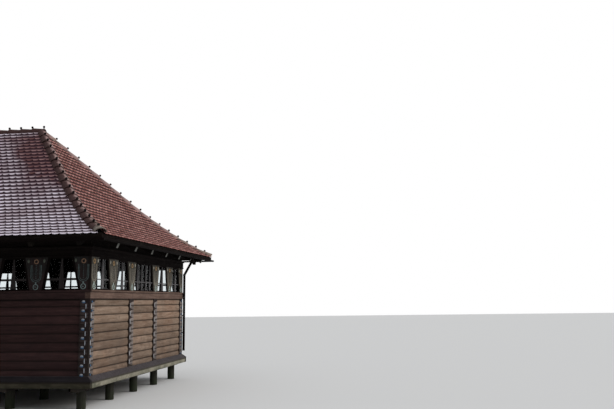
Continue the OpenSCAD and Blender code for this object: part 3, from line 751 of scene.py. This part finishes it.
def cap_row(low_ends, high_ends, across, edge, seed, crown=0.0, tongue=0.0, pale=0.0):
    """Overlapping half-round caps, each a closed shell that narrows from its low end to its
    high end. Outer section: across = w * sin(angle), up = e + (c - e) * cos(angle), with
    half width w, crown c and edge height e; the inner one lies CAP_SHELL inside it. Crown
    is added to c, tongue draws the low end forward by tongue * cos(angle), and pale is
    added to a cap's chance."""
    n = len(low_ends)
    draw = np.random.default_rng(seed)
    low_ends = low_ends + across * draw.normal(0, 0.004, (n, 1))
    along = high_ends - low_ends
    forward, up = upright(across, along)
    share = np.array([0.0, 0.5, 1.0])
    crown, tongue = (np.broadcast_to(v, n)[:, None, None] for v in (crown, tongue))
    w = CAP_HALF * (1.06 - 0.16 * share)[:, None]
    c = (0.084 - 0.036 * share)[:, None] + crown
    e = (edge[:, None] + np.array([0.01, 0.0, -0.006]))[:, :, None]
    angle = np.linspace(-np.pi / 2, np.pi / 2, 9)
    def section(shell):
        return (w - shell) * np.sin(angle), e + (c - shell - e) * np.cos(angle)
    (ox, oz), (ix, iz) = section(0.0), section(CAP_SHELL)
    sx, sz = (np.concatenate([v_out, v_in[..., ::-1]], -1)
              for v_out, v_in in ((ox, ix), (oz, iz)))
    turn = np.concatenate([angle, angle[::-1]])
    low_ends, along, forward, up = (v[:, None, None] for v in (low_ends, along, forward, up))
    ahead = share[:, None, None] * along - (tongue[..., None] * forward
                                            * (share == 0)[:, None, None]
                                            * np.cos(turn)[:, None])
    points = low_ends + ahead + across * sx[..., None] + up * sz[..., None]
    around = len(turn)
    j = np.arange(len(angle) - 1)
    end = np.stack([j, j + 1, around - 2 - j, around - 1 - j], 1)
    one = [quads(3, around, close_cols=True), end, end[:, ::-1] + 2 * around]
    tone = draw.random(n) + pale
    marks = np.stack(np.broadcast_arrays(np.sin(turn), share[:, None], tone[:, None, None]), -1)
    return (points.reshape(-1, 3), repeated(one, n, 3 * around)), marks.reshape(-1, 3)


def hip_point(sx, sy, t):
    """A point of a hip: straight in plan from the eaves' corner to the end of the ridge."""
    return np.stack([sx * (HALF_W + END_OUT - RUN_END * t),
                     sy * (HALF_D + EAVE_OUT - RUN_LONG * t), roof_height(t)], -1)


def hip_caps():
    shapes, marks, knobs = [], [], []
    hip = math.hypot(RUN_LONG, RUN_END)
    for number, (sx, sy) in enumerate(((1, -1), (1, 1), (-1, 1), (-1, -1))):
        i = np.arange(HIP_COUNT)
        first = i == 0
        t0 = np.where(first, 0.018, (i - 0.06) / HIP_COUNT)
        t1 = np.minimum((i + CAP_LAP) / HIP_COUNT, 1.0)
        grade = np.where(t0 < FLARE, EAVE_RISE + (MAIN_RISE - EAVE_RISE) * t0 / FLARE,
                         MAIN_RISE) / RUN_LONG
        across = np.array([sx * RUN_LONG, -sy * RUN_END, 0.0]) / hip
        edge = CAP_EDGE - grade * CAP_HALF * RUN_END / hip
        shape, mark = cap_row(hip_point(sx, sy, t0), hip_point(sx, sy, t1), across, edge,
                              31 + number, crown=0.03 * first, tongue=0.03 + 0.04 * first,
                              pale=1.0 * first * (sy < 0))
        shapes.append(shape)
        marks.append(mark)
        t = (i[:-1] + KNOB_SHARE) / HIP_COUNT
        ahead, up = upright(across, hip_point(sx, sy, t + 0.01) - hip_point(sx, sy, t - 0.01))
        knobs.append(copies(KNOB, hip_point(sx, sy, t) + CAP_TOP * up, ahead,
                            np.cross(up, ahead), up))
    piece("hip_cap_tiles", join(shapes), CAPS, marks=np.concatenate(marks),
          replaces=("hip_caps",))
    return knobs


def ridge_caps():
    reach = RIDGE_HALF + 0.1
    gauge = 2 * reach / RIDGE_COUNT
    i = np.arange(RIDGE_COUNT)
    z = float(roof_height(1.0))
    ends = [np.column_stack([x, np.zeros(RIDGE_COUNT), np.full(RIDGE_COUNT, z)])
            for x in (-reach + i * gauge, np.minimum(-reach + (i + CAP_LAP) * gauge, reach))]
    edge = np.full(RIDGE_COUNT, CAP_EDGE - MAIN_RISE / RUN_LONG * CAP_HALF)
    shape, marks = cap_row(ends[0], ends[1], np.array([0.0, 1.0, 0.0]), edge, 41)
    piece("ridge_cap_tiles", shape, CAPS, marks=marks, replaces=("ridge_caps",))
    x = (reach - KNOB_R) * (2 * np.arange(RIDGE_COUNT + 1) / RIDGE_COUNT - 1)
    places = np.column_stack([x, np.zeros(len(x)), np.full(len(x), z + CAP_TOP)])
    return [copies(KNOB, places, (1, 0, 0), (0, 1, 0), (0, 0, 1))]


piece("cap_knobs", join(hip_caps() + ridge_caps()), KNOBS, smooth=True)


# Rafter tails

def tail_plates(side):
    """A thin pale plate on the slanting end of each rafter of an end wall. Its section in
    y and z lies 7 mm off the rafter's end, which is square to the slope of the eaves."""
    section = np.array([(0.078, 3.443), (0.0716, 3.44), (0.024, 3.545),
                        (0.0304, 3.548)]) - [eaves(side), 0]
    count = int((half(side) + eaves(side + 1) - 0.18) / RAFTER_STEP)
    return join([on_wall(side, prism(section, x - RAFTER_HALF, x + RAFTER_HALF))
                 for x in RAFTER_STEP * np.arange(-count, count + 1)])


piece("rafter_tail_plates", join([tail_plates(RIGHT), tail_plates(LEFT)]), TAILS)


# Walls

def head_heights():
    """The middles of the log heads in a post. They lie on the joints of the wall's logs,
    because crossing logs are laid half a course apart."""
    return TOP_JOINT - LOG_GAUGE * np.arange(LOG_COURSES)


def log_head(outer, inner, middle):
    """The head of a log that shows in a post's face: a pillow, out = HEAD_PROUD * sqrt((1 -
    p^4) * (1 - q^4)), whose upper and lower edges draw in towards its outer end."""
    rows, cols = 7, 6
    p, q = np.meshgrid(np.linspace(-1, 1, rows), np.linspace(-1, 1, cols), indexing="ij")
    x = (outer + inner) / 2 + (inner - outer) / 2 * p
    draw_in = 0.004 + 0.042 * np.clip((0.7 - p) / 1.7, 0, 1) ** 1.3
    z = middle + q * (LOG_GAUGE / 2 - draw_in)
    out = -0.002 - HEAD_PROUD * np.sqrt(np.clip((1 - p ** 4) * (1 - q ** 4), 0, 1))
    face = np.stack([x, out, z], -1).reshape(-1, 3)
    back = face.copy()
    back[:, 1] = 0.004
    n = len(face)
    grid = quads(rows, cols)
    at = np.arange(n).reshape(rows, cols)
    rim = np.concatenate([at[0], at[1:, -1], at[-1, -2::-1], at[-2:0:-1, 0]])
    ahead = np.roll(rim, -1)
    wall = np.stack([rim, ahead, ahead + n, rim + n], 1)
    if inner > outer:
        grid, wall = grid[:, ::-1], wall[:, ::-1]
    return np.concatenate([face, back]), [grid, grid[:, ::-1] + n, wall]


def disc(x, z, radius, height, sides=10, squat=1.0):
    """A low dome in a wall's face, turned about the wall's normal; squat times as high as
    it is wide."""
    p, fs = turned([(radius, 0.0), (radius * 0.8, height * 0.7), (0.0, height)], sides)
    return np.stack([x + p[:, 0], -p[:, 2], z + squat * p[:, 1]], -1), fs


def circle(x, z, radius):
    """18 points of a circle in x and z."""
    angle = np.arange(18) * 2 * np.pi / 18
    return np.stack([x + radius * np.cos(angle), z + radius * np.sin(angle)], 1)


def garland(x, spread, top, turn_z, foot):
    """Two upright lines joined by half an ellipse below: x = spread * cos(angle), z =
    turn_z - (turn_z - foot) * sin(angle)."""
    angle = np.linspace(np.pi, 0, 11)
    bow = np.stack([spread * np.cos(angle), turn_z - (turn_z - foot) * np.sin(angle)], 1)
    path = np.concatenate([[(-spread, top)], bow, [(spread, top)]])
    return path + [x, RAIL_Z1]


class Paints(dict):
    """The painted relief of one wall: a list of shapes for each colour."""

    def add(self, colour, *shapes):
        self.setdefault(colour, []).extend(shapes)

    def board(self, x, drops=(-1, 1), edges=()):
        """One ornament board: two drops and a ring at its top, a doubled garland with a row
        of small dots inside it, and a dot over a ring at its foot. Edges names the sides
        that have a line along the board's slanting edge."""
        z = RAIL_Z1
        low, high = z + 0.078, z + 0.632
        for way in drops:
            self.add("drop", disc(x + way * 0.184, z + 0.648, 0.028, 0.005, squat=1.6))
        for way in edges:
            self.add("line", bead([(x + way * (BOARD_FOOT / 2 - 0.022), z + 0.02),
                                   (x + way * (BOARD_TOP / 2 - 0.034), z + 0.6)],
                                  0.012, 0.004))
        self.add("ochre", bead(circle(x, high, 0.044), 0.026, 0.006, closed=True))
        self.add("line", bead(garland(x, 0.12, 0.56, 0.3, 0.185), 0.014, 0.004),
                 bead(garland(x, 0.092, 0.56, 0.31, 0.22), 0.01, 0.004),
                 *[disc(x, z + h, 0.01, 0.004, 8) for h in np.linspace(0.265, 0.545, 8)])
        self.add("white", bead(circle(x, low, 0.056), 0.02, 0.006, closed=True),
                 disc(x, z + 0.162, 0.02, 0.005),
                 bead([(x - 0.024, low), (x, low), (x + 0.024, low)], 0.014, 0.005))


def dash(x, middle, width, bow):
    """A pale lens on a log head's outer end: its width is width * sqrt(1 - q^2), and its
    path bows towards the post's edge by bow * (1 - q^2)."""
    q = np.linspace(-0.96, 0.96, 7)
    path = np.stack([x - bow * (1 - q * q), middle + 0.056 * q], 1)
    return bead(path, width * np.sqrt(1 - q * q), 0.009, -0.011)


def post_marks(paints, x):
    """A pale crescent on the outer end of each log head of a wall post."""
    for middle in head_heights():
        paints.add("pale", dash(x - 0.092, middle, 0.034, 0.016))


def corner_marks(paints, side, x, way):
    """The marks of a corner post: a dash on each log head, and between two heads a stud,
    which is larger on the long walls, where a pale dome over its upper half is a painted
    highlight."""
    long_side = side % 2 == 0
    dash_in, wide = (0.084, 0.024) if long_side else (0.046, 0.03)
    for middle in head_heights():
        paints.add("pale", dash(x + way * dash_in, middle, wide, 0.0))
    for between in TOP_JOINT + LOG_GAUGE * (0.5 - np.arange(LOG_COURSES + 1)):
        if long_side:
            paints.add("blue", disc(x + way * 0.15, between - 0.008, 0.042, 0.01, 12))
            # painted highlight: a pale dome over the stud's upper half
            paints.add("pale", disc(x + way * 0.15, between + 0.01, 0.038, 0.013, 12,
                                    squat=0.62))
        else:
            paints.add("blue", disc(x + way * 0.105, between, 0.026, 0.014))


# Depths of the window's parts behind the wall's face, and places in its opening
FRAME_FRONT, JAMB_FRONT, UPRIGHT_FRONT, CROSS_FRONT, BAR_BACK = 0.016, 0.018, 0.014, 0.022, 0.0395
FRAME_FOOT, FRAME_TOP, FRAME_GAP, CROSS_SHARE, WIDE_OPENING = 0.034, 0.03, 0.001, 0.33, 1.2


def window_bars(side):
    """Dark frames, and uprights with one cross bar, for each opening between two boards.
    The edges of an opening lean: x = foot + (top - foot) * share of the height. An
    upright widens towards its foot: half = UPRIGHT_HALF + widening * share of the height
    below the top."""
    ends = half(side)
    edges = [(-ends + CORNER_FOOT, -ends + CORNER_TOP)]
    for x in BOARDS[side % 2]:
        edges += [(x + way * BOARD_FOOT / 2, x + way * BOARD_TOP / 2) for way in (-1, 1)]
    edges.append((ends - CORNER_FOOT, ends - CORNER_TOP))
    tall = HEADER_Z - RAIL_Z1
    jamb, cross_half = (0.06, 0.024) if side % 2 == 0 else (0.046, 0.011)
    frames, bars = [], []

    def bar(shapes, z0, z1, x_low, x_high, front):
        section = [(front, z0), (BAR_BACK, z0), (BAR_BACK, z1), (front, z1)]
        shapes.append(prism(section, x_low, x_high))

    def lean(edge, z, inset):
        foot_x, top_x = edge
        return foot_x + (top_x - foot_x) * (z - RAIL_Z1) / tall + inset

    foot, top = RAIL_Z1 + FRAME_FOOT, HEADER_Z - FRAME_TOP
    tall_zs = np.array([foot, foot, top, top])
    cross_zs = RAIL_Z1 + CROSS_SHARE * tall + cross_half * np.array([-1, -1, 1, 1])
    for left, right in zip(edges[::2], edges[1::2]):
        for z0, z1 in ((RAIL_Z1 + FRAME_GAP, foot), (top, HEADER_Z - FRAME_GAP)):
            zs = np.array([z0, z0, z1, z1])
            bar(frames, z0, z1, lean(left, zs, FRAME_GAP), lean(right, zs, -FRAME_GAP),
                FRAME_FRONT)
        for edge, near, far in ((left, FRAME_GAP, jamb), (right, -jamb, -FRAME_GAP)):
            bar(frames, foot, top, lean(edge, tall_zs, near), lean(edge, tall_zs, far),
                JAMB_FRONT)
        width = right[0] - left[0]
        panes, widening = (5, 0.014) if width > WIDE_OPENING else (2, 0.05)
        for i in range(1, panes):
            middle = left[0] + width * i / panes
            wide = UPRIGHT_HALF + widening * (top - tall_zs) / (top - foot)
            bar(bars, foot, top, middle - wide, middle + wide, UPRIGHT_FRONT)
        bar(bars, cross_zs[0], cross_zs[2], lean(left, cross_zs, jamb),
            lean(right, cross_zs, -jamb), CROSS_FRONT)
    return frames, bars


SILL = [(-PROUD + 0.002, 2.508), (-0.02, 2.509), (-0.03, 2.516), (-0.034, 2.528),
        (-0.03, 2.54), (-0.016, 2.551), (-0.001, 2.5515), (-0.001, 2.5475),
        (-PROUD + 0.002, 2.5465)]
HEADER_BEAD = [(-PROUD + 0.001, 3.283), (-0.02, 3.284), (-0.024, 3.292), (-0.02, 3.3),
               (-PROUD + 0.001, 3.301)]
HEADER_CORNICE = [(-PROUD + 0.001, 3.452), (-0.022, 3.456), (-0.034, 3.47), (-0.038, 3.498),
                  (-PROUD + 0.001, 3.4995)]


def mouldings(side, profiles):
    """Fixed profiles carried along the wall. Those of the long walls run past the corners,
    and the others end against them."""
    pieces = []
    for profile in profiles:
        over = -min(y for y, z in profile) if side % 2 == 0 else PROUD
        end = half(side) + over
        spans = [(-end, end)]
        if side == BACK and profile is SILL:
            spans = [(-end, DOOR_X[0]), (DOOR_X[1], end)]
        pieces += [prism(profile, a, b) for a, b in spans]
    return pieces


def dress_wall(side, name, looks):
    def put(part, shapes, look, smooth=False):
        piece(f"{name}_{part}", on_wall(side, join(shapes)), looks[look], smooth)

    parity = side % 2
    paints = Paints()
    spans = [(x - POST_HALF + 0.012, x + POST_HALF - 0.004) for x in POSTS[parity]]
    for x in POSTS[parity]:
        post_marks(paints, x)
    for way in (1, -1):
        corner = -way * half(side)
        spans.append((corner + way * 0.036, corner + way * (CORNER_POST - 0.006)))
        corner_marks(paints, side, corner, way)
        paints.board(corner + way * CORNER_BOARD, (way,))
    for x in BOARDS[parity]:
        paints.board(x, edges=(-1, 1) if parity else ())
    put("log_heads", [log_head(*span, z) for span in spans for z in head_heights()], "heads")
    frames, bars = window_bars(side)
    # painted shade: the frames take the near-black header finish, standing for the shade in the deep
    # reveals
    put("window_frames", frames, "header")
    put("window_bars", bars, "bars")
    # the header mouldings take the near-black header finish, painted shade under the eaves
    for part, profiles in (("rail", [SILL]), ("header", [HEADER_BEAD, HEADER_CORNICE])):
        put(f"{part}_moulding", mouldings(side, profiles), part)
    for colour, shapes in paints.items():
        put(f"{colour}_ornament", shapes, colour, smooth=True)


for side in (FRONT, BACK, RIGHT, LEFT):
    looks, slot = (END, "log_end_wood") if side % 2 else (LONG, "log_long_wood")
    dress_wall(side, SIDES[side], looks)


# Floor, lights, camera

def ground():
    """A wide pale floor level with the feet of the piles."""
    reach = 90.0
    corners = [(x * reach, y * reach, -0.002) for x, y in ((-1, -1), (1, -1), (1, 1), (-1, 1))]
    mesh = bpy.data.meshes.new("ground")
    mesh.from_pydata(corners, [], [(0, 1, 2, 3)])
    mesh.materials.append(material("Ground", lambda s, place: ((0.64,) * 3, None, None), 0.9))
    floor = placed("ground", mesh)


def sky():
    """Soft light, strongest from above and behind the right end: its strength grows with
    the direction's share along lean. Camera, mirror and glass rays see plain white."""
    world = bpy.data.worlds.new("Sky")
    bpy.context.scene.world = world
    world.use_nodes = True
    tree = world.node_tree
    s = Sheet(tree)
    back = tree.nodes["Background"]
    path = tree.nodes.new("ShaderNodeLightPath").outputs
    seen = s.most(path["Is Camera Ray"],
                  s.most(path["Is Glossy Ray"], path["Is Transmission Ray"]))
    s.feed(back.inputs["Color"], s.mix(seen, (0.94, 0.97, 1.0), (1.0, 1.0, 1.0)))
    lean = s.put("VectorMath", {0: s.put("TexCoord", out="Generated"),
                                1: (0.42, 0.4, 0.81)}, out="Value", operation="DOT_PRODUCT")
    s.feed(back.inputs["Strength"], s.most(seen, s.spread(lean, -0.7, 1.0, 0.02, 0.86)))


def sun(name, direction, strength, angle, colour):
    """A broad soft light from a direction."""
    lamp = bpy.data.lights.new(name, "SUN")
    lamp.energy, lamp.angle, lamp.color = strength, math.radians(angle), colour
    made = placed(name, lamp)
    made.rotation_mode = "QUATERNION"
    made.rotation_quaternion = Vector(direction).to_track_quat("Z", "Y")


def camera():
    """The photograph's eye: place, lens, and the turn, tilt and roll of its view."""
    yaw, pitch, roll = (math.radians(v) for v in (7.694, 7.938, -0.763))
    forward = Vector((-math.sin(yaw) * math.cos(pitch), math.cos(yaw) * math.cos(pitch),
                      math.sin(pitch)))
    right = Vector((math.cos(yaw), math.sin(yaw), 0))
    up = right.cross(forward)
    across = math.cos(roll) * right + math.sin(roll) * up
    upright = -math.sin(roll) * right + math.cos(roll) * up
    data = bpy.data.cameras.new("eye")
    data.sensor_width, data.lens = 36.0, 40.72
    data.clip_start, data.clip_end = 0.1, 400.0
    made = placed("eye", data)
    made.matrix_world = Matrix.Translation((11.892, -17.578, 2.236)) @ Matrix(
        (across, upright, -forward)).transposed().to_4x4()
    bpy.context.scene.camera = made


ground()
sky()
sun("key", (0.8, -0.12, 0.58), 1.7, 40, (1.0, 0.97, 0.93))
camera()
bpy.context.scene.view_settings.view_transform = "Standard"
